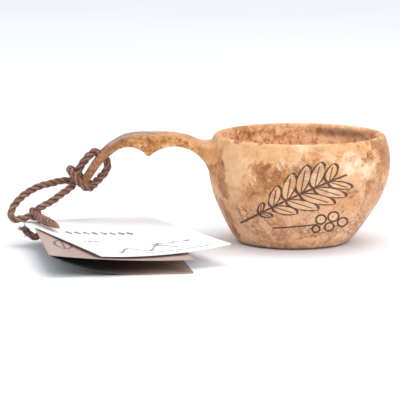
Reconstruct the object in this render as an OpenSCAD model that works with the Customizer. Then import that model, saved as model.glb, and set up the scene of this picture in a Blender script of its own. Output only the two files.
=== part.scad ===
// Kuksa: a drinking cup carved with its handle from one piece of birch burl.
// A twine lanyard is hitched through the handle's hole, and a card and a folded booklet hang on it.
// X runs from the handle's tip towards the bowl, Y away from the drinker's side, Z up.
// The origin is the centre of the bowl's flat base, on the table.

/* [Bowl] */
// Height of the rim above the table
cup_h = 59; // [50:1:72]
// Radius of the flat base
base_r = 29; // [24:1:35]
// Largest outer radius of the bowl
belly_r = 49.7; // [41:0.1:60]
// Height of the largest radius above the table
belly_z = 44; // [36:1:46]
// Outer radius less, where the wall leans in to the rim
rim_lean = 2.3; // [0:0.1:4]
// How far the rim's centre lies beyond the base's, away from the handle
bowl_shift = 3.3; // [0:0.1:6]
// Thickness of the wall at the belly
wall = 6.5; // [4:0.1:9]
// Thickness of the floor
floor_t = 8; // [5:0.5:11]
// Width of the rounded rim
lip_w = 5.4; // [4:0.1:7]
// Rounding of the foot
foot_round = 2; // [1:0.1:3]

/* [Handle] */
// Length of the handle from the bowl's side to its tip
handle_l = 69; // [60:1:84]
// Drop of the tip below the handle's top
tip_drop = 24.7; // [18:0.1:30]
// Width of the handle at its middle
handle_w = 21.6; // [18:0.1:27]
// Width near the tip
tip_w = 16; // [13:0.1:20]
// Width where the handle grows out of the bowl
root_w = 34; // [28:1:40]
// Thickness over the finger scallops
handle_t = 6; // [5:0.1:9]
// Thickness at the tip
tip_t = 4.2; // [3:0.1:6]
// Radius of the scallop beside the bowl
near_scallop_r = 20; // [17:0.1:24]
// Radius of the scallop beside the tip
far_scallop_r = 12.4; // [11:0.1:15]
// Depth of the ridge between the scallops, from the handle's top
ridge_drop = 12; // [10:0.1:14]
// Diameter of the hole for the lanyard
hole_d = 10; // [8.6:0.1:12]
// Distance of the hole from the tip, along the handle's top
hole_in = 18.5; // [16:0.5:20]

/* [Lanyard] */
// Diameter of the twine
cord_d = 4; // [3:0.1:4.2]
// Diameter of the knot that ties the loop
knot_d = 8.6; // [7:0.1:9]
// Diameter of the stopper knot under the tags
stopper_d = 6; // [5:0.1:7]
// Diameter of the whipped tail
tail_d = 5.2; // [4.2:0.1:5.6]

/* [Tags] */
// Thickness of the card and of each leaf
sheet_t = 0.5; // [0.4:0.1:0.6]
// Diameter of the holes punched for the twine
punch_d = 5.8; // [5.4:0.1:6.4]
// Width of the card
card_w = 74; // [60:1:89]
// Length of the card
card_l = 105; // [87:1:120]
// Width of one leaf of the booklet
leaf_w = 74; // [61:1:80]
// Length of the booklet's fold
leaf_l = 105; // [87:1:120]
// Height of the fold above the table
fold_z = 11.5; // [10.5:0.1:12]
// Distance of the punched hole from the fold
fold_margin = 4.8; // [4.4:0.1:6]
// Distance of the punched hole from the booklet's back edge
back_margin = 15; // [8:1:20]
// Distance of the punched hole from the card's two edges
card_margin = 9; // [6:0.5:12]

/* [Hidden] */
fine = 0.01;

// --- Bowl ---
ring_n = 48;
side_x = bowl_shift - belly_r;
lip_r = lip_w / 2;
lip_z = cup_h - lip_r;
mouth_r = belly_r - rim_lean - lip_w;
hollow_r = belly_r - wall;
hollow_bend = 2.8;
foot_flat = 0.6;
middle_share = 0.3;

// Outer radius at height z
function outer_r(z) =
    z < belly_z ? base_r + foot_round + (belly_r - base_r - foot_round) * sin(90 * z / belly_z)
    : belly_r - rim_lean * pow((z - belly_z) / (lip_z - belly_z), 2);
// Radius of the hollow at height z: nearly flat below, upright at the belly, drawn in to the mouth
function hollow_at(z) =
    z < belly_z ? hollow_r * pow(1 - pow((belly_z - z) / (belly_z - floor_t), hollow_bend), 1 / hollow_bend)
    : hollow_r + (mouth_r - hollow_r) * pow((z - belly_z) / (lip_z - belly_z), 2);
// The bowl leans away from the handle as it rises
function lean(z) = bowl_shift * sin(90 * min(z / belly_z, 1));

// Radius and height of each ring: the foot's rounding, the outside, the lip, then the hollow to its middle
foot_rings = [for (a = [0:30:60]) [base_r + foot_round * sin(a), foot_round * (1 - cos(a)) * foot_flat]];
outside_rings = [for (i = [1:10]) let (z = lip_z * i / 10) [outer_r(z), z]];
lip_rings = [for (a = [30:30:150]) [mouth_r + lip_r * (1 + cos(a)), lip_z + lip_r * sin(a)]];
hollow_rings = [
    for (i = [0:9])
        let (z = lip_z + (floor_t - lip_z) * sin(9 * i))
            [hollow_at(max(z, floor_t + fine)), z]
];
hollow_middle = [[hollow_r * middle_share, floor_t]];
bowl_rings = concat(foot_rings, outside_rings, lip_rings, hollow_rings, hollow_middle);

module ring_skin(rings) {
    count = len(rings);
    points = [
        for (ring = rings)
            for (k = [0:ring_n - 1])
                [lean(ring[1]) + ring[0] * cos(360 * k / ring_n), ring[0] * sin(360 * k / ring_n), ring[1]]
    ];
    sides = [
        for (i = [0:count - 2])
            for (k = [0:ring_n - 1])
                let (low = i * ring_n, high = low + ring_n, next = (k + 1) % ring_n)
                    [low + k, high + k, high + next, low + next]
    ];
    bottom = [for (k = [0:ring_n - 1]) k];
    middle = [for (k = [ring_n - 1:-1:0]) (count - 1) * ring_n + k];
    polyhedron(points, concat([bottom], sides, [middle]), convexity = 4);
}

// --- Handle: u runs outwards from the bowl's side, w up from the rim's height ---
// The root ends inside the wall, short of the hollow
root_cover = 1.67;
root_u = root_cover - wall;
// Stations along the handle's top, their heights and half widths
top_t = [root_u / handle_l, 0, 0.06, 0.155, 0.29, 0.42, 0.62, 0.75, 0.87, 1];
top_w = [-0.21, -0.215, -0.195, -0.08, -0.012, 0.008, -0.025, -0.175, -0.46, -1];
half_w = [
    root_w / 2, root_w / 2 * 0.93, root_w / 2 * 0.8, handle_w / 2 * 1.06, handle_w / 2,
    handle_w / 2, handle_w / 2 * 0.96, handle_w / 2 * 0.87, tip_w / 2, tip_w / 2 * 0.8
];

// A smooth curve through values at the stations of top_t
function blend(a, b, c, d, s) =
    0.5 * (2 * b + (c - a) * s + (2 * a - 5 * b + 4 * c - d) * s * s + (3 * b - a - 3 * c + d) * s * s * s);
function between(values, i, s) =
    blend(values[max(i - 1, 0)], values[i], values[i + 1], values[min(i + 2, len(values) - 1)], s);
function top_point(i, s) = [handle_l * between(top_t, i, s), tip_drop * between(top_w, i, s)];
top_line = [for (i = [0:len(top_t) - 2]) for (s = [0, 0.34, 0.67]) top_point(i, s)];
top_end = [handle_l, -tip_drop];
top_curve = concat(top_line, [top_end]);
top_count = len(top_curve);
function unit(v) = v / norm(v);
function top_way(i) = unit(top_curve[min(i + 1, top_count - 1)] - top_curve[max(i - 1, 0)]);
function inward(i) = [top_way(i)[1], -top_way(i)[0]];
// The arm between the far scallop and the tip thickens a little at each station away from the tip
arm_grow = 0.114;
function arm_t(i) = tip_t + arm_grow * (top_count - 1 - i);
function arm_under(i) = top_curve[i] + arm_t(i) * inward(i);
tip_mid = top_end + tip_t / 2 * inward(top_count - 1);
tip_angle = atan2(top_way(top_count - 1)[1], top_way(top_count - 1)[0]);
tip_arc = [for (a = [60:-30:-60]) tip_mid + tip_t / 2 * [cos(tip_angle + a), sin(tip_angle + a)]];

// The near scallop starts past the bowl's side, and the far one leaves a little more wood above it
near_start = 1.8;
far_extra = 0.4;
near_mid = [near_scallop_r - near_start, -handle_t - near_scallop_r];
ridge_u = near_mid[0] + sqrt(pow(near_scallop_r, 2) - pow(near_scallop_r + handle_t - ridge_drop, 2));
far_rise = far_scallop_r + handle_t + far_extra;
far_mid = [ridge_u + sqrt(pow(far_scallop_r, 2) - pow(far_rise - ridge_drop, 2)), -far_rise];
far_ridge_a = atan2(far_rise - ridge_drop, ridge_u - far_mid[0]);
near_ridge_a = atan2(-near_mid[1] - ridge_drop, ridge_u - near_mid[0]);
function arc(mid, r, a, b, n) = [for (i = [0:n]) let (t = a + (b - a) * i / n) mid + r * [cos(t), sin(t)]];
far_end_a = 46;
near_end_a = 176;
far_n = 10;
near_n = 16;
far_arc = arc(far_mid, far_scallop_r, far_end_a, far_ridge_a, far_n);
near_arc = arc(near_mid, near_scallop_r, near_ridge_a, near_end_a, near_n);
root_in = [root_u, near_arc[near_n][1]];
near_line = [for (i = [1:near_n]) near_arc[i]];
// The arm's underside ends where the far scallop begins, so that the outline never doubles back
arm_line = [for (i = [top_count - 1:-1:0]) if (arm_under(i)[0] > far_arc[0][0]) arm_under(i)];
side_outline = concat(top_curve, tip_arc, arm_line, far_arc, near_line, [root_in]);

plan_line = [
    for (i = [0:len(top_t) - 2])
        for (s = [0, 0.5])
            [handle_l * between(top_t, i, s), between(half_w, i, s)]
];
tip_round = 2.4;
end_half_w = half_w[len(half_w) - 1];
tip_plan = [for (a = [60:-30:0]) [handle_l + tip_round * cos(a), end_half_w * sin(a)]];
plan_side = concat(plan_line, [[handle_l, end_half_w]], tip_plan);
plan_outline = concat(plan_side, [for (i = [len(plan_side) - 2:-1:0]) [plan_side[i][0], -plan_side[i][1]]]);

// The hole's middle lies under the top line's point nearest its place, square to the handle there
hole_i = top_count - 5;
hole_way = top_way(hole_i);
hole_mid = top_end - hole_in * unit(top_end - top_curve[hole_i]) + arm_t(hole_i) / 2 * inward(hole_i);

module handle() {
    difference() {
        intersection() {
            rotate([90, 0, 0])
                linear_extrude(root_w + 2, center = true)
                    polygon([for (p = side_outline) [side_x - p[0], cup_h + p[1]]]);
            linear_extrude(cup_h * 2)
                polygon([for (p = plan_outline) [side_x - p[0], p[1]]]);
        }
        translate([side_x - hole_mid[0], 0, cup_h + hole_mid[1]])
            rotate([0, -atan2(-hole_way[1], hole_way[0]), 0])
                cylinder(d = hole_d, h = tip_t * 4, center = true, $fn = 48);
    }
}

module cup() {
    color("#c9935f")
        union() {
            ring_skin(bowl_rings);
            handle();
        }
}

// --- Lanyard: the twine's route, from the whipped tail to the stopper knot ---
tail_route = [[-126, -47, 15.4], [-130, -38, 15.6], [-134, -30, 16], [-137, -24, 16.6]];
knot_at = [-140, -18, 17.6];
low_route = [[-140, -18, 17.6], [-138, -16, 20], [-134, -13, 22], [-130, -11, 24], [-126, -9, 27]];
high_route = [
    [-126, 0, 33], [-131, -2, 32], [-137, -5, 31], [-142, -7, 29], [-147, -10, 26],
    [-151, -13, 22], [-153, -16, 18], [-152, -19, 15], [-148, -20, 15], [-144, -20, 16], [-140, -18, 17.6]
];
hitch_route = [
    [-124, -7.6, 28], [-119.8, -4, 31.2], [-117.9, -2.2, 35.2], [-117.2, -2.2, 38.4],
    [-115.2, -2.2, 42], [-112.8, -2.2, 45.2], [-110.6, -2.2, 47.4], [-108.4, -2.2, 48.8],
    [-106.4, -2.2, 48.4], [-104.5, -2.2, 46.7], [-102.6, -2.2, 44.9], [-101.3, -2.2, 43],
    [-101.2, -2.2, 40.6], [-102.4, -2.2, 37.8], [-105, -2.2, 34.8], [-108, -5, 31.8],
    [-110.6, -8.2, 30], [-113.6, -10.2, 31], [-116.6, -10, 34], [-119.4, -7.4, 37],
    [-121.6, -3, 39], [-121.6, 3, 39], [-119.4, 7.4, 37], [-116.6, 10, 34],
    [-113.6, 10.2, 31], [-110.6, 8.2, 30], [-108, 5, 31.8], [-105, 2.2, 34.8],
    [-102.4, 2.2, 37.8], [-101.2, 2.2, 40.6], [-101.3, 2.2, 43], [-102.6, 2.2, 44.9],
    [-104.5, 2.2, 46.7], [-106.4, 2.2, 48.4], [-108.4, 2.2, 48.8], [-110.6, 2.2, 47.4],
    [-112.8, 2.2, 45.2], [-115.2, 2.2, 42], [-117.2, 2.2, 38.4], [-117.9, 2.2, 35.2],
    [-120, 1.4, 33.2], [-124, 0.2, 32.8]
];
stub_route = [
    [-140, -18, 17.6], [-137, -19, 15.8], [-136, -19, 12.5], [-136.2, -19, 9.4],
    [-137.2, -18.9, 6.6], [-139.4, -18.3, 5], [-142, -17.2, 5.4], [-144, -16.4, 6.8]
];
stopper_at = [-145.4, -15.8, 8.2];
stub_at = [-136, -19];
tube_n = 8;

// Rings across the route, turned as little as possible from one to the next
function route_way(p, i) = unit(p[min(i + 1, len(p) - 1)] - p[max(i - 1, 0)]);
function square_to(v, w) = unit(v - (v * w) * w);
function frames(p, i, last) = i == len(p) ? []
    : let (side = square_to(last, route_way(p, i))) concat([side], frames(p, i + 1, side));
module tube(p, d) {
    sides = frames(p, 0, abs(route_way(p, 0)[1]) < 0.8 ? [0, 1, 0] : [0, 0, 1]);
    count = len(p);
    points = [
        for (i = [0:count - 1])
            let (across = sides[i], up = cross(route_way(p, i), across))
                for (k = [0:tube_n - 1])
                    p[i] + d / 2 * (cos(360 * k / tube_n) * across + sin(360 * k / tube_n) * up)
    ];
    walls = [
        for (i = [0:count - 2])
            for (k = [0:tube_n - 1])
                let (low = i * tube_n, high = low + tube_n, next = (k + 1) % tube_n)
                    [low + k, high + k, high + next, low + next]
    ];
    start = [for (k = [0:tube_n - 1]) k];
    finish = [for (k = [tube_n - 1:-1:0]) (count - 1) * tube_n + k];
    polyhedron(points, concat([start], walls, [finish]), convexity = 6);
}

module cord_hitch() { color("#7b5548") tube(hitch_route, cord_d); }
module cord_loop() {
    color("#7b5548") {
        tube([for (i = [1:4]) low_route[i]], cord_d);
        tube([for (i = [0:9]) high_route[i]], cord_d);
        tube([for (i = [1:7]) stub_route[i]], cord_d);
    }
}
module cord_knot() { color("#6e4a3f") translate(knot_at) sphere(d = knot_d, $fn = 32); }
module cord_tail() { color("#b98558") tube(tail_route, tail_d); }
module cord_stopper() { color("#8a5f50") translate(stopper_at) sphere(d = stopper_d, $fn = 32); }

// --- Tags ---
module punch() {
    translate([stub_at[0], stub_at[1], -1])
        cylinder(d = punch_d, h = cup_h, $fn = 32);
}

// The card: a sheet that lies over the booklet, bowed across its width, its corners at these heights
card_turn = 26.8;
corner_z = [fold_z + 1.6, fold_z - 0.6, fold_z - 0.3, fold_z - 0.6];
card_grid = [10, 12];
back_bow = 0.5;
front_bow = 2.2;
function card_z(u, v) =
    (1 - v) * ((1 - u) * corner_z[0] + u * corner_z[3]) + v * ((1 - u) * corner_z[1] + u * corner_z[2])
    - 4 * u * (1 - u) * (back_bow + v * (front_bow - back_bow));
module card() {
    nu = card_grid[0];
    nv = card_grid[1];
    row = nu + 1;
    layer = row * (nv + 1);
    points = [
        for (half = [-1, 1])
            for (j = [0:nv])
                for (i = [0:nu])
                    [
                        card_w * i / nu - card_margin, card_margin - card_l * j / nv,
                        card_z(i / nu, j / nv) + half * sheet_t / 2
                    ]
    ];
    under = [for (j = [0:nv - 1]) for (i = [0:nu - 1]) let (a = j * row + i, b = a + row) each [
        [a, b + 1, b], [a, a + 1, b + 1]
    ]];
    over = [for (f = under) [f[0] + layer, f[2] + layer, f[1] + layer]];
    rim = concat(
        [for (i = [0:nu]) i], [for (j = [1:nv]) j * row + nu],
        [for (i = [nu - 1:-1:0]) nv * row + i], [for (j = [nv - 1:-1:1]) j * row]
    );
    edge = [for (k = [0:len(rim) - 1]) let (a = rim[k], b = rim[(k + 1) % len(rim)]) each [
        [a, b + layer, b], [a, a + layer, b + layer]
    ]];
    color("#f6f4f2")
        difference() {
            translate([stub_at[0], stub_at[1], 0])
                rotate([0, 0, card_turn])
                    polyhedron(points, concat(under, over, edge), convexity = 4);
            punch();
        }
}

// The booklet: one creased sheet, modelled as two leaves that meet at the fold
fold_turn = 8.6;
droop = 45;
step_n = 16;
// The upper leaf falls away from the fold and eases as it goes
leaf_fall = 0.13;
leaf_ease = 0.00095;
function upper_z(t) = fold_z - leaf_fall * t + leaf_ease * t * t;
function lower_z(t) = sheet_t / 2 + (fold_z - sheet_t / 2) * pow(max(1 - t / droop, 0), 2);
leaf_gap = 2.4;
upper_line = [for (i = [0:step_n]) let (t = leaf_w * i / step_n) [t, upper_z(t)]];
lower_line = [for (i = [0:step_n]) let (t = leaf_gap + (droop - leaf_gap) * i / step_n) [t, lower_z(t)]];
module leaf(line) {
    outline = concat(
        [for (p = line) p + [0, sheet_t / 2]], [for (i = [len(line) - 1:-1:0]) line[i] - [0, sheet_t / 2]]
    );
    translate([stub_at[0], stub_at[1], 0])
        rotate([0, 0, fold_turn])
            translate([-fold_margin, back_margin, 0])
                rotate([90, 0, 0])
                    linear_extrude(leaf_l)
                        polygon(outline);
}
module leaf_upper() {
    color("#cdb5a3")
        difference() {
            leaf(upper_line);
            punch();
        }
}
module leaf_lower() {
    color("#bfa48f")
        difference() {
            leaf(concat(lower_line, [[leaf_w, lower_z(leaf_w)]]));
            punch();
        }
}

cup();
cord_hitch();
cord_loop();
cord_knot();
cord_tail();
cord_stopper();
card();
leaf_upper();
leaf_lower();
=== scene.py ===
# %% [markdown]
# # A kuksa with its lanyard and tags
# A kuksa is a drinking cup that Nordic people carve, handle and all, from one burl of birch. This lesson
# dresses a measured model of one. The measured model is the frame: it says where every part is and what
# moves, and each new piece is made at its place in the same metres.

# %% Load the frame
import math
import random
import bpy
from mathutils import Matrix, Vector


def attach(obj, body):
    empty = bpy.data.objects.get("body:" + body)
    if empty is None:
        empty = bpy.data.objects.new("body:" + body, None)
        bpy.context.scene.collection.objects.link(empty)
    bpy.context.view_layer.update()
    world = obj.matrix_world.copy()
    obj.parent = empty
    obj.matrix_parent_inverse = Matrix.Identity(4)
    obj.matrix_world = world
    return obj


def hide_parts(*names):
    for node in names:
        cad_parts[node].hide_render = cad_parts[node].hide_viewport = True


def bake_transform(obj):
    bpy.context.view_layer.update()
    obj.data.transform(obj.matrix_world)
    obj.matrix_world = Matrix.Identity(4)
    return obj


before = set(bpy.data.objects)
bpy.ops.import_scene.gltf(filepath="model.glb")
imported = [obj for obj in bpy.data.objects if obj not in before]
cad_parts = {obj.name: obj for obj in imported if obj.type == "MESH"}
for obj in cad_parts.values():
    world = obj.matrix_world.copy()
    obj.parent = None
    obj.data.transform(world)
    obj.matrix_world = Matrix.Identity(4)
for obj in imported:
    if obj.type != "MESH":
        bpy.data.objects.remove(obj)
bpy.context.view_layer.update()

MM = 0.001
print("nodes:", sorted(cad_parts))

# %% [markdown]
# ## The camera
# A long lens a little above the rim keeps the bowl's mouth a thin ellipse and the sides nearly upright. The
# camera comes first, because the cord is measured against what it sees.

# %% Camera
CAMERA_AT = (-0.0508, -1.4, 0.2466)
LOOK_DOWN = math.radians(9.106)

camera_data = bpy.data.cameras.new("camera")
camera_data.lens = 233.33
camera_data.sensor_width = 36
camera_data.clip_end = 20
camera = bpy.data.objects.new("camera", camera_data)
camera.location = CAMERA_AT
camera.rotation_euler = (math.pi / 2 - LOOK_DOWN, 0, 0)
bpy.context.scene.collection.objects.link(camera)
bpy.context.scene.camera = camera
print("camera", CAMERA_AT, "looks down", round(math.degrees(LOOK_DOWN), 2), "degrees")

# %% [markdown]
# ## Tubes along a line
# Twine, fibres and knots are all tubes that follow a line. A tube is rings of points, each ring square to
# the line. The ring's own two directions are carried from one ring to the next with as little turning as
# possible, so that the tube never twists where the line doesn't.

# %% Lines and their frames
def through(points, per_span=10):
    """A smooth line through points: each span is a cubic that leaves a point as its two neighbours lie."""
    ends = [points[0] * 2 - points[1], *points, points[-1] * 2 - points[-2]]
    line = []
    for a, b, c, d in zip(ends, ends[1:], ends[2:], ends[3:]):
        for i in range(per_span):
            t = i / per_span
            line.append(0.5 * (2 * b + (c - a) * t + (2 * a - 5 * b + 4 * c - d) * t**2
                               + (3 * b - a - 3 * c + d) * t**3))
    return line + [points[-1]]


def evenly(line, step):
    """The same line with its points a step apart."""
    even, left = [line[0]], step
    for a, b in zip(line, line[1:]):
        span, done = (b - a).length, 0
        while span - done >= left:
            done += left
            even.append(a.lerp(b, done / span))
            left = step
        left -= span - done
    return even + [line[-1]] if (even[-1] - line[-1]).length > step / 3 else even


def relaxed(line, times):
    """Small corners go when each point moves half way to the middle of its neighbours."""
    for _ in range(times):
        middle = [(a + 2 * b + c) / 4 for a, b, c in zip(line, line[1:], line[2:])]
        line = [line[0], *middle, line[-1]]
    return line


def carried(line):
    """Two directions square to the line at each point, carried along it."""
    ways = [(line[min(i + 1, len(line) - 1)] - line[max(i - 1, 0)]).normalized() for i in range(len(line))]
    across = ways[0].orthogonal().normalized()
    frames = []
    for way in ways:
        across = (across - across.dot(way) * way).normalized()
        frames.append((across, way.cross(across)))
    return frames


# %% Tubes into one mesh
class Tubes:
    """Tubes that end up in one mesh: each point has a tone and a crown, each face its place on the tube."""

    LOOSE = 2.0

    def __init__(self):
        self.points, self.tones, self.crowns = [], [], []
        self.faces, self.places = [], []

    def add(self, line, radius, tone, sides=10, core=None):
        """Lays a tube: radius and tone are functions of how far along the line a ring is, from 0 to 1.

        core is the twine's own line under a strand. A point's crown says how far out from the core the point
        is, from 0 to 1, and is LOOSE on a tube that has no core.
        """
        start, last, long = len(self.points), len(line) - 1, 0.0
        lengths = [0.0]
        for a, b in zip(line, line[1:]):
            long += (b - a).length
            lengths.append(long)
        for i, (at, (across, up)) in enumerate(zip(line, carried(line))):
            share = lengths[i] / long
            for k in range(sides):
                angle = math.tau * k / sides
                self.points.append(at + radius(share) * (math.cos(angle) * across + math.sin(angle) * up))
                self.tones.append(tone(share))
                crown = self.LOOSE
                if core is not None:
                    crown = (self.points[-1] - core[i]).length / (2 * radius(share))
                self.crowns.append(crown)
        for i in range(last):
            for k in range(sides):
                n = (k + 1) % sides
                row, above = start + i * sides, start + (i + 1) * sides
                self.faces.append((row + k, row + n, above + n, above + k))
                u, v = k / sides, (k + 1) / sides
                low, high = lengths[i], lengths[i + 1]
                self.places.append([(u, low), (v, low), (v, high), (u, high)])
        self.faces.append(tuple(start + k for k in reversed(range(sides))))
        self.places.append([(0.5, 0.0)] * sides)
        self.faces.append(tuple(start + last * sides + k for k in range(sides)))
        self.places.append([(0.5, long)] * sides)

    def build(self, name):
        mesh = bpy.data.meshes.new(name)
        mesh.from_pydata(self.points, [], self.faces)
        layer = mesh.uv_layers.new(name="lay")
        flat = [number for face in self.places for place in face for number in (place[0], place[1] * 100)]
        layer.data.foreach_set("uv", flat)
        for label, values in (("tone", self.tones), ("crown", self.crowns)):
            mesh.attributes.new(label, "FLOAT", "POINT").data.foreach_set("value", values)
        mesh.polygons.foreach_set("use_smooth", [True] * len(mesh.polygons))
        mesh.update()
        piece = bpy.data.objects.new(name, mesh)
        bpy.context.scene.collection.objects.link(piece)
        print(name, len(mesh.polygons), "faces")
        return piece


# %% [markdown]
# ## The twine's route
# The lanyard is one length of three-strand twine, 4 mm thick. Its frayed tail lies on the card. It runs up
# to the handle, over the tip, down through the hole, round its own two runs and back the same way, and then
# down in a wide loop to the knot. From there a stub goes down through the tags to a stopper knot. These are
# the same points that the frame's solids follow.

# %% Route
tail_route = [(-127.2, -44.2, 15.3), (-130, -38, 15.6), (-134, -30, 16), (-137, -24, 16.6)]
knot_at = (-140, -18, 17.6)
low_route = [(-138, -16, 20), (-134, -13, 22), (-130, -11, 24), (-126, -9, 27)]
over_tip = [(-117.9, 35.2), (-117.2, 38.4), (-115.2, 42), (-112.8, 45.2), (-110.6, 47.4), (-108.4, 48.8),
            (-106.4, 48.4), (-104.5, 46.7), (-102.6, 44.9), (-101.3, 43), (-101.2, 40.6), (-102.4, 37.8),
            (-105, 34.8)]
side_y = 2.2
near_bight = [(-108, -5, 31.8), (-110.6, -8.2, 30), (-113.6, -10.2, 31), (-116.6, -10, 34),
              (-119.4, -7.4, 37), (-121.6, -3, 39)]
far_bight = [(x, -y, z) for x, y, z in reversed(near_bight)]
near_run = [(x, -side_y, z) for x, z in over_tip]
far_run = [(x, side_y, z) for x, z in reversed(over_tip)]
hitch_route = [(-124, -7.6, 28), (-119.8, -4, 31.2), *near_run, *near_bight,
               *far_bight, *far_run, (-120, 1.4, 33.2), (-124, 0.2, 32.8)]
loop_route = [(-126, 0, 33), (-131, -2, 32), (-137, -5, 31), (-142, -7, 29), (-147, -10, 26), (-151, -13, 22),
              (-153, -16, 18), (-152, -19, 15), (-148, -20, 15), (-144, -20, 16)]
stub_route = [(-137, -19, 15.8), (-136, -19, 12.5), (-136.2, -19, 9.4), (-137.2, -18.9, 6.6),
              (-139.4, -18.3, 5), (-142, -17.2, 5.4), (-144, -16.4, 6.8)]
stopper_at = (-145.4, -15.8, 8.2)

whole_route = [*tail_route, knot_at, *low_route, *hitch_route, *loop_route, knot_at, *stub_route]
STEP = 0.55 * MM
twine_line = relaxed(evenly(through([Vector(p) * MM for p in whole_route]), STEP), 4)
twine_length = sum((b - a).length for a, b in zip(twine_line, twine_line[1:]))
print("twine", round(twine_length, 4), "m along", len(twine_line), "points")

# %% [markdown]
# ## Laying the twine
# Three strands run side by side and turn round each other once in about three thicknesses. Each strand's
# line is the twine's own line moved off by its share of the circle. Loose fibres stand out of the strands,
# as they do on a rough vegetable twine, and the tail swells where it has begun to come untwisted.

# %% Strands and fibres
STRAND_R = 0.99 * MM
STRAND_OUT = 1.06 * MM
LAY_LENGTH = 12.5 * MM
# Shares of the twine's length, from the frayed end: the tail, its thin end and its golden end.
TAIL_SHARE = 0.1
TAPER_SHARE = 0.036
GOLD_SHARE = 0.034
TAIL_FAT, END_THIN = 0.24, 0.34
rng = random.Random(11)


def swell(share):
    """The twine's thickness against its plain run: fat along the tail, and thin again at its very end."""
    fat = 1 + TAIL_FAT * math.sin(math.pi * min(1.0, share / TAIL_SHARE)) ** 0.8
    return fat * (END_THIN + (1 - END_THIN) * min(1.0, share / TAPER_SHARE) ** 0.8)


def golden(share):
    """The tail's last few millimetres are bleached to gold."""
    return max(0.0, 1 - share / GOLD_SHARE) ** 1.2


def strand_lines(line, out, lay, swelling):
    """Three lines that turn round a line once in each lay, out from it by out times the swelling."""
    frames, strands = carried(line), [[], [], []]
    gone = 0.0
    for i, at in enumerate(line):
        if i:
            gone += (at - line[i - 1]).length
        across, up = frames[i]
        for k in range(3):
            angle = math.tau * (gone / lay + k / 3)
            away = out * swelling(i / (len(line) - 1))
            strands[k].append(at + away * (math.cos(angle) * across + math.sin(angle) * up))
    return strands


def fibre(tubes, root, away, along, long, thick, tone):
    """One loose fibre: it leaves the strand, turns along it and curls."""
    curl = Vector([rng.uniform(-1, 1) for _ in range(3)]) * long * 0.14
    line = [root, root + away * long * 0.20 + along * long * 0.25,
            root + away * long * 0.32 + along * long * 0.62 + curl * 0.5,
            root + away * long * 0.36 + along * long + curl]
    tubes.add(evenly(through(line, 4), long / 5), lambda s: thick * (1 - 0.8 * s), lambda s: tone, 3)


twine_mesh = Tubes()
strands = strand_lines(twine_line, STRAND_OUT, LAY_LENGTH, swell)
for k, strand in enumerate(strands):
    twine_mesh.add(strand, lambda s: STRAND_R * swell(s), lambda s: golden(s), 12, core=twine_line)

FIBRES = 620
# The last points of the line go through the tags and have no loose fibres.
THROUGH_TAGS = 44
for _ in range(FIBRES):
    i = rng.randrange(4, len(twine_line) - THROUGH_TAGS)
    strand = strands[rng.randrange(3)]
    away = (strand[i] - twine_line[i]).normalized()
    along = (twine_line[i + 1] - twine_line[i]).normalized() * rng.choice((-1, 1))
    root = strand[i] + away * STRAND_R * 0.8
    long, thick = rng.uniform(1.2, 3.4) * MM, rng.uniform(0.045, 0.085) * MM
    shade = max(golden(i / len(twine_line)), rng.uniform(0.15, 0.5))
    fibre(twine_mesh, root, away, along, long, thick, shade)
twine = twine_mesh.build("twine")

# %% [markdown]
# ## The knots and the frayed end
# The knot that ties the loop is an overhand knot pulled tight, which is a trefoil: a closed line that winds
# twice round while it dips three times. The stopper is a smaller one. The tail ends in a brush of loose
# fibres.

# %% Knots
def trefoil(middle, size, lean, tilt, points=120):
    """A tight overhand knot's line round a point."""
    turned = Matrix.Rotation(lean, 3, "Z") @ Matrix.Rotation(tilt, 3, "X")
    line = []
    for i in range(points + 1):
        t = math.tau * i / points
        flat = 2 + math.cos(3 * t)
        at = Vector((flat * math.cos(2 * t), flat * math.sin(2 * t), 1.35 * math.sin(3 * t)))
        line.append(middle + turned @ (at * size))
    return line


def knot_piece(name, middle, size, thick, lean, tilt, tone, fibres, fluff):
    """A tight knot of three-strand twine, with loose fibres as thick as fluff standing out of it."""
    tubes = Tubes()
    line = trefoil(middle, size, lean, tilt)
    laid = strand_lines(line, thick * 0.265, thick * 3, lambda s: 1.0)
    for strand in laid:
        tubes.add(strand, lambda s: thick * 0.25, lambda s: tone, 10, core=line)
    for _ in range(fibres):
        i = rng.randrange(2, len(line) - 2)
        away = (line[i] - middle).normalized()
        along = (line[i + 1] - line[i]).normalized()
        long, shade = rng.uniform(1, 2.6) * MM, rng.uniform(0.1, 0.5)
        fibre(tubes, line[i] + away * thick * 0.42, away, along, long, fluff, shade)
    return tubes.build(name)


knot = knot_piece("loop_knot", Vector(knot_at) * MM, size=0.86 * MM, thick=2.8 * MM, lean=0.5, tilt=1.15,
                  tone=0.05, fibres=70, fluff=0.06 * MM)
stopper = knot_piece("stopper_knot", Vector(stopper_at) * MM, size=0.6 * MM, thick=2.1 * MM, lean=1.9,
                     tilt=0.9, tone=0.12, fibres=260, fluff=0.12 * MM)

# %% Frayed end
WISPS = 240
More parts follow.
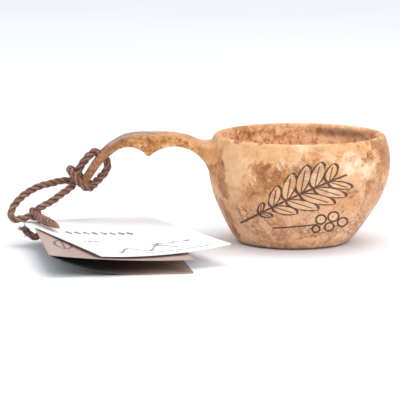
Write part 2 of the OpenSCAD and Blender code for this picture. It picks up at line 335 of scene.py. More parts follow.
# In millimetres: how far back a wisp may start, the fray's radius at the end and further back, and the
# height of the card that the tail lies on.
FRAY_BACK, FRAY_END_R, FRAY_R, ON_CARD = 9, 0.5, 2.2, 13.0
UP = Vector((0, 0, 1))
fray_mesh = Tubes()
end_at, end_way = twine_line[0], (twine_line[0] - twine_line[6]).normalized()
side_way = end_way.cross(UP).normalized()
for _ in range(WISPS):
    angle, out = rng.uniform(0, math.tau), math.sqrt(rng.random())
    back = rng.uniform(0.3, FRAY_BACK)
    out_way = side_way * math.cos(angle) + UP * math.sin(angle)
    off = out_way * out * min(FRAY_R, FRAY_END_R + back * 0.24) * MM
    root = end_at - end_way * back * MM + off
    long = rng.uniform(3, 7) * MM
    spread = off * rng.uniform(-0.5, 0.25) + side_way * rng.uniform(-0.7, 0.7) * MM
    tip = root + end_way * long + spread
    tip.z = max(tip.z, ON_CARD * MM)
    bend = Vector([rng.uniform(-0.35, 0.35) for _ in range(3)]) * MM
    line = evenly(through([root, root.lerp(tip, 0.35) + bend, root.lerp(tip, 0.7) - bend, tip], 4), long / 6)
    thick, shade = rng.uniform(0.08, 0.17) * MM, rng.uniform(0.6, 1.0) * max(0.3, 1 - back / 11)
    fray_mesh.add(line, lambda s: thick * (1 - 0.75 * s * s), lambda s: shade * (0.5 + 0.5 * s), 5)
fray = fray_mesh.build("frayed_tail")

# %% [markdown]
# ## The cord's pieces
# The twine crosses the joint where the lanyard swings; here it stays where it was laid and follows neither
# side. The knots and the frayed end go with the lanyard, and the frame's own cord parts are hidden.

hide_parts("cord_hitch", "cord_loop")
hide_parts("cord_knot")
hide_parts("cord_stopper")
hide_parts("cord_tail")
for piece in (knot, stopper, fray):
    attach(piece, "lanyard")
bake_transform(twine)

# %% [markdown]
# ## Working as by hand
# The wooden cup and the paper tags are shaped with Blender's own tools. An operator works on whatever is
# selected, so each step starts from nothing selected.

# %% Hand tools
def alone(piece):
    """Only this piece is selected, and it is the active one."""
    bpy.ops.object.select_all(action="DESELECT")
    piece.select_set(True)
    bpy.context.view_layer.objects.active = piece


def added(name):
    """The primitive just added, under its own name."""
    piece = bpy.context.active_object
    piece.name = piece.data.name = name
    return piece


def modified(piece, kind, **settings):
    """Adds a modifier, sets it and applies it."""
    alone(piece)
    modifier = piece.modifiers.new(kind.lower(), kind)
    for key, value in settings.items():
        setattr(modifier, key, value)
    bpy.ops.object.modifier_apply(modifier=modifier.name)


def at_origin(piece):
    """The piece's place, turn and scale go into its points."""
    alone(piece)
    bpy.ops.object.transform_apply(location=True, rotation=True, scale=True)


def slab(name, outline, width, upright):
    """A board sawn to an outline: a face moved to the outline point by point, then pulled to its width."""
    bpy.ops.object.select_all(action="DESELECT")
    bpy.ops.mesh.primitive_circle_add(vertices=len(outline), radius=0.01, fill_type="NGON")
    board = added(name)
    for vertex, (a, b) in zip(board.data.vertices, outline):
        vertex.co = (a, -width / 2, b) if upright else (a, b, 0)
    way = (0, width, 0) if upright else (0, 0, width)
    bpy.ops.object.mode_set(mode="EDIT")
    bpy.ops.mesh.select_all(action="SELECT")
    bpy.ops.mesh.extrude_region_move(TRANSFORM_OT_translate={"value": way})
    bpy.ops.mesh.select_all(action="SELECT")
    bpy.ops.mesh.normals_make_consistent(inside=False)
    bpy.ops.object.mode_set(mode="OBJECT")
    return board


# %% [markdown]
# ## The bowl
# The bowl is turned from one outline: the foot, the outer wall that bellies out and leans in again, the fat
# rounded lip, and the hollow. A point is extruded along that outline and spun round the upright axis. The
# real bowl leans a little away from its handle, so each height is then moved over.

# %% Bowl's sizes
# All in millimetres.
CUP_H, BASE_R, BELLY_R, BELLY_Z = 59, 29, 49.7, 44
RIM_LEAN, BOWL_SHIFT, WALL, FLOOR_T, LIP_W, FOOT = 2.3, 3.3, 6.5, 8, 5.4, 2
LIP_R = LIP_W / 2
LIP_Z = CUP_H - LIP_R
MOUTH_R = BELLY_R - RIM_LEAN - LIP_W
HOLLOW_R = BELLY_R - WALL


def outer_r(z):
    """The outer wall's radius at a height."""
    if z < BELLY_Z:
        return BASE_R + FOOT + (BELLY_R - BASE_R - FOOT) * math.sin(math.pi / 2 * z / BELLY_Z)
    return BELLY_R - RIM_LEAN * ((z - BELLY_Z) / (LIP_Z - BELLY_Z)) ** 2


def hollow_at(z):
    """The hollow's radius at a height."""
    if z < BELLY_Z:
        return HOLLOW_R * (1 - ((BELLY_Z - z) / (BELLY_Z - FLOOR_T)) ** 2.8) ** (1 / 2.8)
    return HOLLOW_R + (MOUTH_R - HOLLOW_R) * ((z - BELLY_Z) / (LIP_Z - BELLY_Z)) ** 2


def lean(z):
    """How far the bowl is moved over at a height."""
    return BOWL_SHIFT * math.sin(math.pi / 2 * min(max(z, 0) / BELLY_Z, 1))


WALL_STEPS, HOLLOW_STEPS = 24, 20
outline = [(0, 0), (BASE_R * 0.5, 0), (BASE_R, 0)]
for a in (math.radians(30), math.radians(60)):
    outline.append((BASE_R + FOOT * math.sin(a), FOOT * (1 - math.cos(a)) * 0.6))
for i in range(2, WALL_STEPS + 1):
    z = LIP_Z * i / WALL_STEPS
    outline.append((outer_r(z), z))
for degrees in range(20, 180, 20):
    a = math.radians(degrees)
    outline.append((MOUTH_R + LIP_R * (1 + math.cos(a)), LIP_Z + LIP_R * math.sin(a)))
for i in range(HOLLOW_STEPS):
    z = LIP_Z + (FLOOR_T - LIP_Z) * math.sin(math.radians(90 * i / HOLLOW_STEPS))
    outline.append((hollow_at(max(z, FLOOR_T + 0.01)), z))
outline += [(HOLLOW_R * 0.3, FLOOR_T), (0, FLOOR_T)]
print("bowl outline", len(outline), "points, lip at", LIP_Z, "mm")

# %% Spin the bowl
bpy.ops.object.select_all(action="DESELECT")
bpy.ops.mesh.primitive_plane_add(size=0.01, location=(0, 0, 0))
cup = added("carved_cup")
bpy.ops.object.mode_set(mode="EDIT")
bpy.ops.mesh.select_all(action="SELECT")
bpy.ops.mesh.merge(type="CENTER")
for (r0, z0), (r1, z1) in zip(outline, outline[1:]):
    bpy.ops.mesh.extrude_region_move(TRANSFORM_OT_translate={"value": ((r1 - r0) * MM, 0, (z1 - z0) * MM)})
bpy.ops.mesh.select_all(action="SELECT")
bpy.ops.mesh.spin(steps=120, angle=math.tau, center=(0, 0, 0), axis=(0, 0, 1))
bpy.ops.mesh.select_all(action="SELECT")
bpy.ops.mesh.remove_doubles(threshold=0.00001)
bpy.ops.mesh.normals_make_consistent(inside=False)
bpy.ops.object.mode_set(mode="OBJECT")
for vertex in cup.data.vertices:
    vertex.co.x += lean(vertex.co.z / MM) * MM
print("bowl", len(cup.data.polygons), "faces")

# %% [markdown]
# ## The handle
# A carver saws the handle twice: once to its outline from the side, with the two finger scallops and the
# ridge between them, and once to its outline from above. What both cuts leave is the handle. The same is
# done here: two boards, and the space that they share.

# %% Handle's outlines
# In millimetres. The three lists are stations along the handle: how far out, how high and how wide it is.
HANDLE_L, TIP_DROP, HANDLE_W, TIP_W, ROOT_W = 69, 24.7, 21.6, 16, 34
HANDLE_T, TIP_T, NEAR_R, FAR_R, RIDGE = 6, 4.2, 20, 12.4, 12
HOLE_D, HOLE_IN = 10, 18.5
SIDE_X = BOWL_SHIFT - BELLY_R
top_t = [-0.07, 0, 0.06, 0.155, 0.29, 0.42, 0.62, 0.75, 0.87, 1]
top_w = [-0.21, -0.215, -0.195, -0.08, -0.012, 0.0, -0.025, -0.175, -0.46, -1]
half_w = [ROOT_W / 2, ROOT_W / 2 * 0.93, ROOT_W / 2 * 0.8, HANDLE_W / 2 * 1.06, HANDLE_W / 2, HANDLE_W / 2,
          HANDLE_W / 2 * 0.96, HANDLE_W / 2 * 0.87, TIP_W / 2, TIP_W / 2 * 0.8]


def stations(values, scale, shares):
    """A smooth run through values, as plain numbers, at each share of every span."""
    run = []
    for i in range(len(values) - 1):
        a, b, c, d = values[max(i - 1, 0)], values[i], values[i + 1], values[min(i + 2, len(values) - 1)]
        for s in shares:
            run.append(scale * 0.5 * (2 * b + (c - a) * s + (2 * a - 5 * b + 4 * c - d) * s * s
                                      + (3 * b - a - 3 * c + d) * s**3))
    return run


def arc(middle, radius, start, stop, steps):
    """Points on an arc, between two angles in degrees."""
    angles = [math.radians(start + (stop - start) * i / steps) for i in range(steps + 1)]
    return [Vector((middle[0] + radius * math.cos(a), middle[1] + radius * math.sin(a))) for a in angles]


thirds = (0, 0.34, 0.67)
top = [Vector(p) for p in zip(stations(top_t, HANDLE_L, thirds), stations(top_w, TIP_DROP, thirds))]
top.append(Vector((HANDLE_L, -TIP_DROP)))
last = len(top) - 1


def top_way(i):
    """The way the top line runs at a point of it."""
    return (top[min(i + 1, last)] - top[max(i - 1, 0)]).normalized()


def inward(i):
    """The way from a point of the top line into the wood."""
    return Vector((top_way(i).y, -top_way(i).x))


ARM_GROW = 0.114


def arm_t(i):
    """The arm's thickness under a point of the top line: it grows from the tip."""
    return TIP_T + ARM_GROW * (last - i)


tip_mid = top[last] + TIP_T / 2 * inward(last)
tip_angle = math.degrees(math.atan2(top_way(last).y, top_way(last).x))
tip_arc = arc(tip_mid, TIP_T / 2, tip_angle + 60, tip_angle - 60, 4)
near_mid = (NEAR_R - 1.8, -HANDLE_T - NEAR_R)
ridge_u = near_mid[0] + math.sqrt(NEAR_R**2 - (NEAR_R + HANDLE_T - RIDGE) ** 2)
far_rise = FAR_R + HANDLE_T + 0.4
far_mid = (ridge_u + math.sqrt(FAR_R**2 - (far_rise - RIDGE) ** 2), -far_rise)
far_end = math.degrees(math.atan2(far_rise - RIDGE, ridge_u - far_mid[0]))
near_end = math.degrees(math.atan2(-near_mid[1] - RIDGE, ridge_u - near_mid[0]))
far_arc = arc(far_mid, FAR_R, 46, far_end, 14)
near_arc = arc(near_mid, NEAR_R, near_end, 176, 22)
under_arm = [top[i] + arm_t(i) * inward(i) for i in range(last, 0, -1)]
under_arm = [p for p in under_arm if p.x > far_arc[0].x]
side_view = [*top, *tip_arc, *under_arm, *far_arc, *near_arc[1:], Vector((-0.07 * HANDLE_L, near_arc[-1].y))]

halves, end_half, tip_bulge = (0, 0.5), half_w[-1], 2.4
plan = list(zip(stations(top_t, HANDLE_L, halves), stations(half_w, 1, halves)))
plan.append((HANDLE_L, end_half))
for a in (math.radians(60), math.radians(30), 0):
    plan.append((HANDLE_L + tip_bulge * math.cos(a), end_half * math.sin(a)))
plan += [(u, -y) for u, y in reversed(plan[:-1])]
print("side view", len(side_view), "points; ridge at", round(ridge_u, 1), "mm from the bowl")

# %% Saw the handle and join it
side_board = slab("side_board", [((SIDE_X - p.x) * MM, (CUP_H + p.y) * MM) for p in side_view],
                  (ROOT_W + 2) * MM, True)
plan_board = slab("plan_board", [((SIDE_X - u) * MM, y * MM) for u, y in plan], CUP_H * 2 * MM, False)
modified(side_board, "BOOLEAN", operation="INTERSECT", object=plan_board, solver="EXACT")
modified(cup, "BOOLEAN", operation="UNION", object=side_board, solver="EXACT")

hole_i = last - 4
hole_way = top_way(hole_i)
along_top = (top[last] - top[hole_i]).normalized()
hole_mid = top[last] - HOLE_IN * along_top + arm_t(hole_i) / 2 * inward(hole_i)
bpy.ops.object.select_all(action="DESELECT")
bpy.ops.mesh.primitive_cylinder_add(vertices=48, radius=HOLE_D / 2 * MM, depth=TIP_T * 4 * MM,
                                    location=((SIDE_X - hole_mid.x) * MM, 0, (CUP_H + hole_mid.y) * MM),
                                    rotation=(0, -math.atan2(-hole_way.y, hole_way.x), 0))
drill = added("drill")
modified(cup, "BOOLEAN", operation="DIFFERENCE", object=drill, solver="EXACT")
for tool in (side_board, plan_board, drill):
    bpy.data.objects.remove(tool)
print("cup joined:", len(cup.data.polygons), "faces")

# %% [markdown]
# ## Sanding
# A knife and sandpaper leave no machine edges. The joined solid is remade as an even skin of small faces,
# so that the handle and the bowl are one piece of wood, and then smoothed: lightly all over, and more where
# the handle flows into the bowl.

# %% Sand the cup
SKIN = 0.8 * MM
modified(cup, "REMESH", mode="VOXEL", voxel_size=SKIN)
root = cup.vertex_groups.new(name="root")
for vertex in cup.data.vertices:
    x, y, z = vertex.co / MM
    reach = math.hypot(x - lean(z), y) - outer_r(min(max(z, 0), LIP_Z))
    if x < -30 and -2.5 < reach < 16 and z > 24:
        weight = min(1, (reach + 2.5) / 2.5) * min(1, (16 - reach) / 8) * min(1, (z - 24) / 8)
        root.add([vertex.index], weight, "REPLACE")
modified(cup, "SMOOTH", factor=0.5, iterations=26, vertex_group="root")
modified(cup, "SMOOTH", factor=0.5, iterations=5)
alone(cup)
bpy.ops.object.shade_smooth()
at_origin(cup)
# How much the handle's wood faces up: that strip gets a painted grey highlight.
crest = [max(0.0, vertex.normal.z) if vertex.co.x < -0.055 else 0.0 for vertex in cup.data.vertices]
cup.data.attributes.new("crest", "FLOAT", "POINT").data.foreach_set("value", crest)
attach(cup, "cup")
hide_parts("cup")
print("sanded cup:", len(cup.data.polygons), "faces")

# %% [markdown]
# ## The tags
# Card and booklet are stiff paper: even sheets that bow, not flat plates. Each is a fine grid laid at its
# true size, lifted to the height of the real sheet, punched and given its thickness. The two leaves of the
# booklet are one creased sheet, so both start at the fold.

# %% Lay a sheet
SHEET_T = 0.5 * MM
HOLE_AT = Vector((-136, -19, 0)) * MM
PUNCH_R = 2.9 * MM


def sheet_of_paper(name, turn, rows, place):
    """A grid over (0..1, 0..1) whose points go where place says, in millimetres from the punched hole."""
    bpy.ops.object.select_all(action="DESELECT")
    bpy.ops.mesh.primitive_grid_add(x_subdivisions=rows[0], y_subdivisions=rows[1], size=1)
    paper = added(name)
    turned = Matrix.Rotation(math.radians(turn), 3, "Z")
    for vertex in paper.data.vertices:
        u, v = vertex.co.x + 0.5, 0.5 - vertex.co.y
        vertex.co = HOLE_AT + turned @ (Vector(place(u, v)) * MM)
    bpy.ops.object.select_all(action="DESELECT")
    bpy.ops.mesh.primitive_cylinder_add(vertices=40, radius=PUNCH_R, depth=0.06, location=HOLE_AT)
    punch = added("punch")
    modified(paper, "SOLIDIFY", thickness=SHEET_T, offset=0, use_even_offset=True, material_offset=1,
             material_offset_rim=2)
    modified(paper, "BOOLEAN", operation="DIFFERENCE", object=punch, solver="EXACT")
    bpy.data.objects.remove(punch)
    alone(paper)
    bpy.ops.object.shade_smooth_by_angle(angle=math.radians(40))
    at_origin(paper)
    print(name, len(paper.data.polygons), "faces")
    return paper


# %% Card
CARD_W, CARD_L, CARD_MARGIN, CARD_TURN = 74, 105, 9, 26.8
corner_z = (13.1, 10.9, 11.2, 10.9)
BACK_BOW, FRONT_BOW = 0.5, 2.2


def card_place(u, v):
    """The card's corners lie at their own heights, and it bows down between its long sides."""
    left = (1 - v) * corner_z[0] + v * corner_z[1]
    right = (1 - v) * corner_z[3] + v * corner_z[2]
    bow = 4 * u * (1 - u) * (BACK_BOW + v * (FRONT_BOW - BACK_BOW))
    return (CARD_W * u - CARD_MARGIN, CARD_MARGIN - CARD_L * v, (1 - u) * left + u * right - bow)


# %% Leaves
LEAF_W, LEAF_L, FOLD_Z, FOLD_MARGIN, BACK_MARGIN, FOLD_TURN = 74, 105, 11.5, 4.8, 15, 8.6
DROOP, LEAF_GAP = 45, 0.55


def upper_place(u, v):
    """The upper leaf falls from the fold and eases."""
    t = LEAF_W * u
    return (t - FOLD_MARGIN, BACK_MARGIN - LEAF_L * v, FOLD_Z - 0.13 * t + 0.00095 * t * t)


def lower_place(u, v):
    """The lower leaf droops from the fold to the table."""
    t = LEAF_GAP + (LEAF_W - LEAF_GAP) * u
    return (t - FOLD_MARGIN, BACK_MARGIN - LEAF_L * v, 0.25 + (FOLD_Z - 0.25) * max(1 - t / DROOP, 0) ** 2)


card_piece = sheet_of_paper("hang_card", CARD_TURN, (40, 50), card_place)
upper_piece = sheet_of_paper("booklet_upper_leaf", FOLD_TURN, (48, 40), upper_place)
lower_piece = sheet_of_paper("booklet_lower_leaf", FOLD_TURN, (60, 40), lower_place)
for piece, node, slot in ((card_piece, "card", "white_card"), (upper_piece, "leaf_upper", "kraft_board"),
                          (lower_piece, "leaf_lower", "kraft_board")):
    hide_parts(node)
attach(card_piece, "card")
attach(upper_piece, "booklet_upper")
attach(lower_piece, "booklet_lower")

# %% [markdown]
# ## Sums that make a finish
# A finish is a sum of noises, stripes and masks. The sums are written as Python here: a value on a surface
# can be added, taken away, multiplied and compared, and each step becomes a Math node. Every other node is
# asked for in one way: its type, its settings, and what goes into its sockets.

# %% Values and mixes
class Value:
    """A socket of a finish that can be reckoned with."""

    def __init__(self, mix, socket):
        self.mix, self.socket = mix, socket

    def sum(self, operation, *others):
        return self.mix.node("ShaderNodeMath", {"operation": operation}, dict(enumerate((self, *others))))

    def __add__(self, other):
        return self.sum("ADD", other)

    def __mul__(self, other):
        return self.sum("MULTIPLY", other)

    def __sub__(self, other):
        return self.sum("SUBTRACT", other)

    def __truediv__(self, other):
        return self.sum("DIVIDE", other)

    def __rsub__(self, other):
        return self.mix.node("ShaderNodeMath", {"operation": "SUBTRACT"}, {0: other, 1: self})

    __radd__, __rmul__ = __add__, __mul__

    def size(self):
        return self.sum("ABSOLUTE")

    def whole(self):
        return self.sum("FLOOR")

    def least(self, other):
        return self.sum("MINIMUM", other)

    def most(self, other):
        return self.sum("MAXIMUM", other)

    def power(self, other):
        return self.sum("POWER", other)

    def rise(self, low, high):
        """0 at low, 1 at high, and smooth between: low may be the greater."""
        settings = {"interpolation_type": "SMOOTHSTEP", "clamp": True}
        sockets = {"Value": self, "From Min": low, "From Max": high}
        return self.mix.node("ShaderNodeMapRange", settings, sockets)


class Mix:
    """A finish as it is mixed: its nodes, and the shader that they feed."""

    def __init__(self, name, **shader):
        self.material = bpy.data.materials.new(name)
        self.material.use_nodes = True
        self.tree = self.material.node_tree
        self.shader = self.tree.nodes["Principled BSDF"]
        for key, value in shader.items():
            self.shader.inputs[key.replace("_", " ")].default_value = value

    def node(self, kind, settings=None, inputs=None, out=0):
        made = self.tree.nodes.new(kind)
        for key, value in (settings or {}).items():
            if key == "stops":
                self.stops(made.color_ramp, value)
            else:
                setattr(made, key, value)
        for key, value in (inputs or {}).items():
            if isinstance(value, Value):
                self.tree.links.new(value.socket, made.inputs[key])
            else:
                made.inputs[key].default_value = value
        return Value(self, made.outputs[out])

    def stops(self, ramp, stops):
        while len(ramp.elements) < len(stops):
            ramp.elements.new(1)
        for element, (place, colour) in zip(ramp.elements, stops):
            element.position, element.color = place, colour

    def stored(self, name):
        """A number that was stored with the mesh's points."""
        return self.node("ShaderNodeAttribute", {"attribute_name": name}, None, "Fac")

    def place(self):
        return self.node("ShaderNodeTexCoord", out="Object")

    def parts(self, vector):
        return [self.node("ShaderNodeSeparateXYZ", None, {"Vector": vector}, k) for k in "XYZ"]

    def noise(self, at, scale, detail=3, rough=0.5, out="Fac"):
        sockets = {"Vector": at, "Scale": scale, "Detail": detail, "Roughness": rough}
        return self.node("ShaderNodeTexNoise", None, sockets, out)

    def ramp(self, value, stops):
        return self.node("ShaderNodeValToRGB", {"stops": stops}, {"Fac": value})

    def blend(self, share, first, second, how="MIX"):
        """Two colours through a share from 0 to 1."""
        return self.node("ShaderNodeMix", {"data_type": "RGBA", "blend_type": how},
                         {0: share, 6: first, 7: second}, 2)

    def vector(self, operation, first, second):
        if operation == "SCALE":
            return self.node("ShaderNodeVectorMath", {"operation": operation}, {0: first, "Scale": second})
        return self.node("ShaderNodeVectorMath", {"operation": operation}, {0: first, 1: second})

    def feed(self, **sockets):
        for key, value in sockets.items():
            self.tree.links.new(value.socket, self.shader.inputs[key.replace("_", " ")])

    def bump(self, height, depth):
        """height from 0 to 1 over a depth in metres."""
        bumped = self.node("ShaderNodeBump", None, {"Height": height, "Distance": depth, "Strength": 1.0})
        self.feed(Normal=bumped)


def colour(code):
    """A colour as Blender keeps it, from the six figures that a paint chart gives."""
    parts = [int(code[i:i + 2], 16) / 255 for i in (0, 2, 4)]
    return (*[c / 12.92 if c <= 0.04045 else ((c + 0.055) / 1.055) ** 2.4 for c in parts], 1)


# %% [markdown]
# ## Burl wood
# Birch burl has no straight grain. It is a patchwork of cream and honey flakes with ragged edges, crossed
# by brown clouds, thin dark veins and fine flecks. Inside the bowl it has colours of its own, made lighter as
# painted light against the shade that falls in the bowl. Object coordinates go right through the wood, so
# the figure turns the lip as it does in a solid.

# %% Burl
wood = Mix("burl_wood", Roughness=0.5, IOR=1.45)
at = wood.place()
x, y, z = [axis * 1000 for axis in wood.parts(at)]
ragged = wood.vector("SUBTRACT", wood.noise(at, 95, 5, 0.68, "Color"), (0.5, 0.5, 0.5))
moved = wood.vector("ADD", at, wood.vector("SCALE", ragged, 0.022))
cells = {"Vector": moved, "Scale": 105, "Randomness": 1}
flake = wood.parts(wood.node("ShaderNodeTexVoronoi", {"feature": "F1"}, cells, "Color"))[0]
clouds = wood.noise(moved, 26, 5, 0.6)
mottle = wood.noise(moved, 170, 6, 0.72)
grains = wood.noise(at, 520, 4, 0.7)
drift = wood.noise(at, 15, 3, 0.5)
tone = (flake * 0.24 + clouds * 0.62 + mottle * 0.38 + grains * 0.24 - 0.74) * 2.1 + 0.52 + x * 0.0014

burl = wood.ramp(tone, [(0.10, colour("8A5228")), (0.30, colour("BE824E")), (0.44, colour("DCA571")),
                        (0.58, colour("E6B281")), (0.74, colour("EBBC90")), (0.94, colour("F3CFAA"))])
peach = z.rise(46.0, 18.0) * drift.rise(0.34, 0.60)
pink = wood.ramp(grains * 0.6 + mottle * 0.4, [(0.36, colour("BC8058")), (0.60, colour("F0C3A2"))])
burl = wood.blend(peach * 0.50, burl, pink)
amber = wood.noise(moved, 20, 4, 0.6).rise(0.46, 0.56) * mottle.rise(0.36, 0.56) * z.rise(12.0, 34.0)
burl = wood.blend(amber * 0.72, burl, colour("C07C3C"))
smoke = wood.noise(moved, 36, 6, 0.7).rise(0.53, 0.61) * grains.rise(0.62, 0.44)
burl = wood.blend(smoke * 0.78, burl, colour("8A5830"))
seam = (wood.noise(moved, 24, 4, 0.6) - 0.5).size().rise(0.014, 0.002) * drift.rise(0.44, 0.56)
burl = wood.blend(seam * 0.55, burl, colour("8A5A34"))
fleck = grains.rise(0.60, 0.70) * mottle.rise(0.56, 0.42)
burl = wood.blend(fleck * 0.42, burl, colour("845029"))

# %% Pale flakes and painted shade at the foot
# Each flake of pale sapwood: its middle across and up the front, and its reach, in millimetres.
PALE_FLAKES = ((29.0, 48.5, 7.5), (39.0, 44.0, 6.0), (9.0, 39.5, 5.0), (-8.0, 47.5, 3.6), (19.0, 34.0, 3.6))
edge_noise = wood.noise(at, 210, 5, 0.7) * 11.0 - 5.5
pale_wood = None
for across, up, reach in PALE_FLAKES:
    away = ((x - across).power(2) + (z - up).power(2)).power(0.5) + edge_noise
    flake_mask = away.rise(reach, reach - 2.4) * mottle.rise(0.34, 0.50)
    pale_wood = flake_mask if pale_wood is None else pale_wood.most(flake_mask)
pale_wood = pale_wood * y.rise(-10.0, -18.0)
stray = wood.noise(moved, 40, 5, 0.66).rise(0.635, 0.69)
cream = wood.ramp(mottle, [(0.40, colour("E2B98C")), (0.62, colour("F6E0C2"))])
burl = wood.blend(pale_wood.most(stray * 0.4) * 0.78, burl, cream)
# Painted shade: the foot is darkened towards 4E3322 where it meets the table, and patchily a little higher
# up.
painted_foot_shade = z.rise(1.7, 0.3) * 0.62 + z.rise(5.5, 1.0) * mottle.rise(0.6, 0.4) * 0.35
burl = wood.blend(painted_foot_shade.least(1.0), burl, colour("4E3322"))
print("burl nodes:", len(wood.tree.nodes))

# %% Inside of the bowl
bend = (z.least(BELLY_Z).most(0) * (math.pi / 2 / BELLY_Z)).sum("SINE")
from_axis = ((x - bend * BOWL_SHIFT).power(2) + y.power(2)).power(0.5)
skin_r = bend * (BELLY_R - BASE_R - FOOT) + (BASE_R + FOOT)
inside = (skin_r - from_axis).rise(3.2, 5.2) * z.rise(4.5, 6.0) * z.rise(58.0, 55.5)
# The inside's own patchy colours, made lighter as painted light against the shade in the bowl.
inside_wood_and_painted_light = wood.ramp((clouds * 0.45 + mottle * 0.75 + grains * 0.3 - 0.75) * 1.5 + 0.5,
                  [(0.26, colour("744829")), (0.38, colour("BC8659")), (0.50, colour("EDBE92")),
                   (0.72, colour("FFE8CA"))])
worn = x.rise(4.0, 24.0) * z.rise(50.5, 54.5) * clouds.rise(0.35, 0.50)
grey_wear_and_sheen = wood.ramp(mottle, [(0.36, colour("4A3A30")), (0.62, colour("8A7260"))])
inside_wood_and_painted_light = wood.blend(worn * 0.82, inside_wood_and_painted_light, grey_wear_and_sheen)
burl = wood.blend(inside * 0.92, burl, inside_wood_and_painted_light)
arm = x.rise(-44.0, -56.0)
honey = wood.ramp((clouds * 0.35 + mottle * 0.55 + grains * 0.45 - 0.68) * 1.7 + 0.5,
                  [(0.22, colour("6A3F1E")), (0.40, colour("A0652F")), (0.55, colour("D18E4C")),
                   (0.70, colour("E4AE70")), (0.86, colour("F4D8AA"))])
burl = wood.blend(arm * 0.88, burl, honey)
tip_wood = wood.ramp(grains, [(0.4, colour("7A4C30")), (0.6, colour("A87452"))])
burl = wood.blend(x.rise(-80.0, -102.0) * 0.78, burl, tip_wood)
# Painted highlight: the strip of the handle that faces up, most towards the tip, is blended to a grey sheen.
crest = wood.stored("crest").rise(0.30, 0.75)
grey_wear_and_sheen = wood.ramp(grains * 0.6 + mottle * 0.4,
                   [(0.38, colour("6E5646")), (0.50, colour("8E7464")), (0.62, colour("B39A86"))])
burl = wood.blend(crest * x.rise(-62.0, -88.0) * 0.62, burl, grey_wear_and_sheen)
bright = arm * x.rise(-96.0, -86.0) * z.rise(56.0, 53.0) * wood.noise(moved, 95, 5, 0.7).rise(0.50, 0.58)
burl = wood.blend(bright * 0.75, burl, colour("F2D09A"))

# %% [markdown]
# ## The burnt sprig
# The front of the bowl carries a drawing burnt in with a hot point. Here it is a plain leafy sprig with a
# few berries, of the kind that anyone might burn into a cup. The sprig is one sum: measured along a leaf's
# own slant, every leaf is the same shape one step further up the stem, so one leaf is worked out and
# repeated.

# %% Sprig
LINE = 0.56
SOFT = 0.22


def stroke(off, wide=LINE):
    """1 on a line, 0 off it: off is how far a place is from the line's middle, in millimetres."""
    return off.rise(wide + SOFT, wide - SOFT)


def sprig(base, angle, curve, pitch, pairs, longest, slant):
    """Burnt lines and the pale inside of a leafy sprig that starts at base and rises at an angle."""
    c, s = math.cos(math.radians(angle)), math.sin(math.radians(angle))
    up = (x - base[0]) * c + (z - base[1]) * s
    over = (z - base[1]) * c - (x - base[0]) * s - up * up * curve
    side = over.size()
    slope, sine = 1 / math.tan(math.radians(slant)), math.sin(math.radians(slant))
    foot = up - side * slope
    number = (foot / pitch).whole()
    off = (foot - (number + 0.5) * pitch).size() * sine
    long = (number + 0.9).sum("MULTIPLY", math.pi / (pairs + 1.6)).sum("SINE") * longest
    share = side / sine / long
    belly = (share * (1 - share) * 4).most(0).power(0.75) * (long * 0.24).least(pitch * 0.42)
    here = number.rise(-0.6, -0.4) * number.rise(pairs - 0.4, pairs - 0.6) * share.rise(1.02, 0.99)
    leaf_line = stroke((off - belly).size()) * here
    rib = stroke(off, 0.3) * here * share.rise(0.86, 0.78)
    stem = stroke(side, 0.55) * up.rise(-9.0, -8.5) * up.rise(pairs * pitch + 6.0, pairs * pitch + 5.4)
    return leaf_line.most(rib).most(stem), (belly - off).rise(0.0, 0.4) * here


# Each berry: its middle across and up, and its radius, in millimetres.
BERRIES = ((13.5, 18.2, 2.7), (18.2, 13.4, 2.5), (20.2, 19.4, 2.9), (25.4, 15.6, 2.7), (11.0, 12.6, 2.0))
burnt, pale = sprig((-22.0, 19.0), angle=35, curve=-0.0030, pitch=8.0, pairs=6, longest=17.5, slant=50)
stalk = (z - 13.0 - (x + 12.0) * 0.10).size()
burnt = burnt.most(stroke(stalk, 0.45) * x.rise(-12.5, -12.0) * x.rise(12.0, 11.5))
for bx, bz, br in BERRIES:
    away = ((x - bx).power(2) + (z - bz).power(2)).power(0.5)
    dot = ((x - bx + 0.4).power(2) + (z - bz - 0.3).power(2)).power(0.5)
    burnt = burnt.most(stroke((away - br).size())).most(stroke(dot, 0.35))
    pale = pale.most(away.rise(br, br - 0.4))
front = y.rise(-14.0, -16.0) * (1 - inside)
char = wood.noise(at, 900, 2)
burnt = burnt * front * char.rise(0.12, 0.42)
burl = wood.blend(pale * front * 0.38, burl, colour("E6BE92"))
burl = wood.blend(burnt * 0.92, burl, colour("3D281E"))

grain = mottle * 0.35 + grains * 0.25 + wood.noise(at, 48, 2) * 1.5 - burnt * 0.55
wood.feed(Base_Color=burl, Roughness=mottle * 0.22 + burnt * 0.25 + 0.36)
wood.bump(grain, 0.00035)
cup.data.materials.append(wood.material)
print("wood nodes:", len(wood.tree.nodes))

# %% [markdown]
# ## Twine
# The twine is tarred brown jute. Along each strand the yarns lie at a slant, which the strand's own map of
# turns and lengths gives. The tone that was stored while the twine was laid says where it bleaches to gold,
# and the crown says how deep a place is in the groove between two strands, where shade is painted in. A
# loose fibre is too thin to have yarns, so it gets no relief and no painted shade.

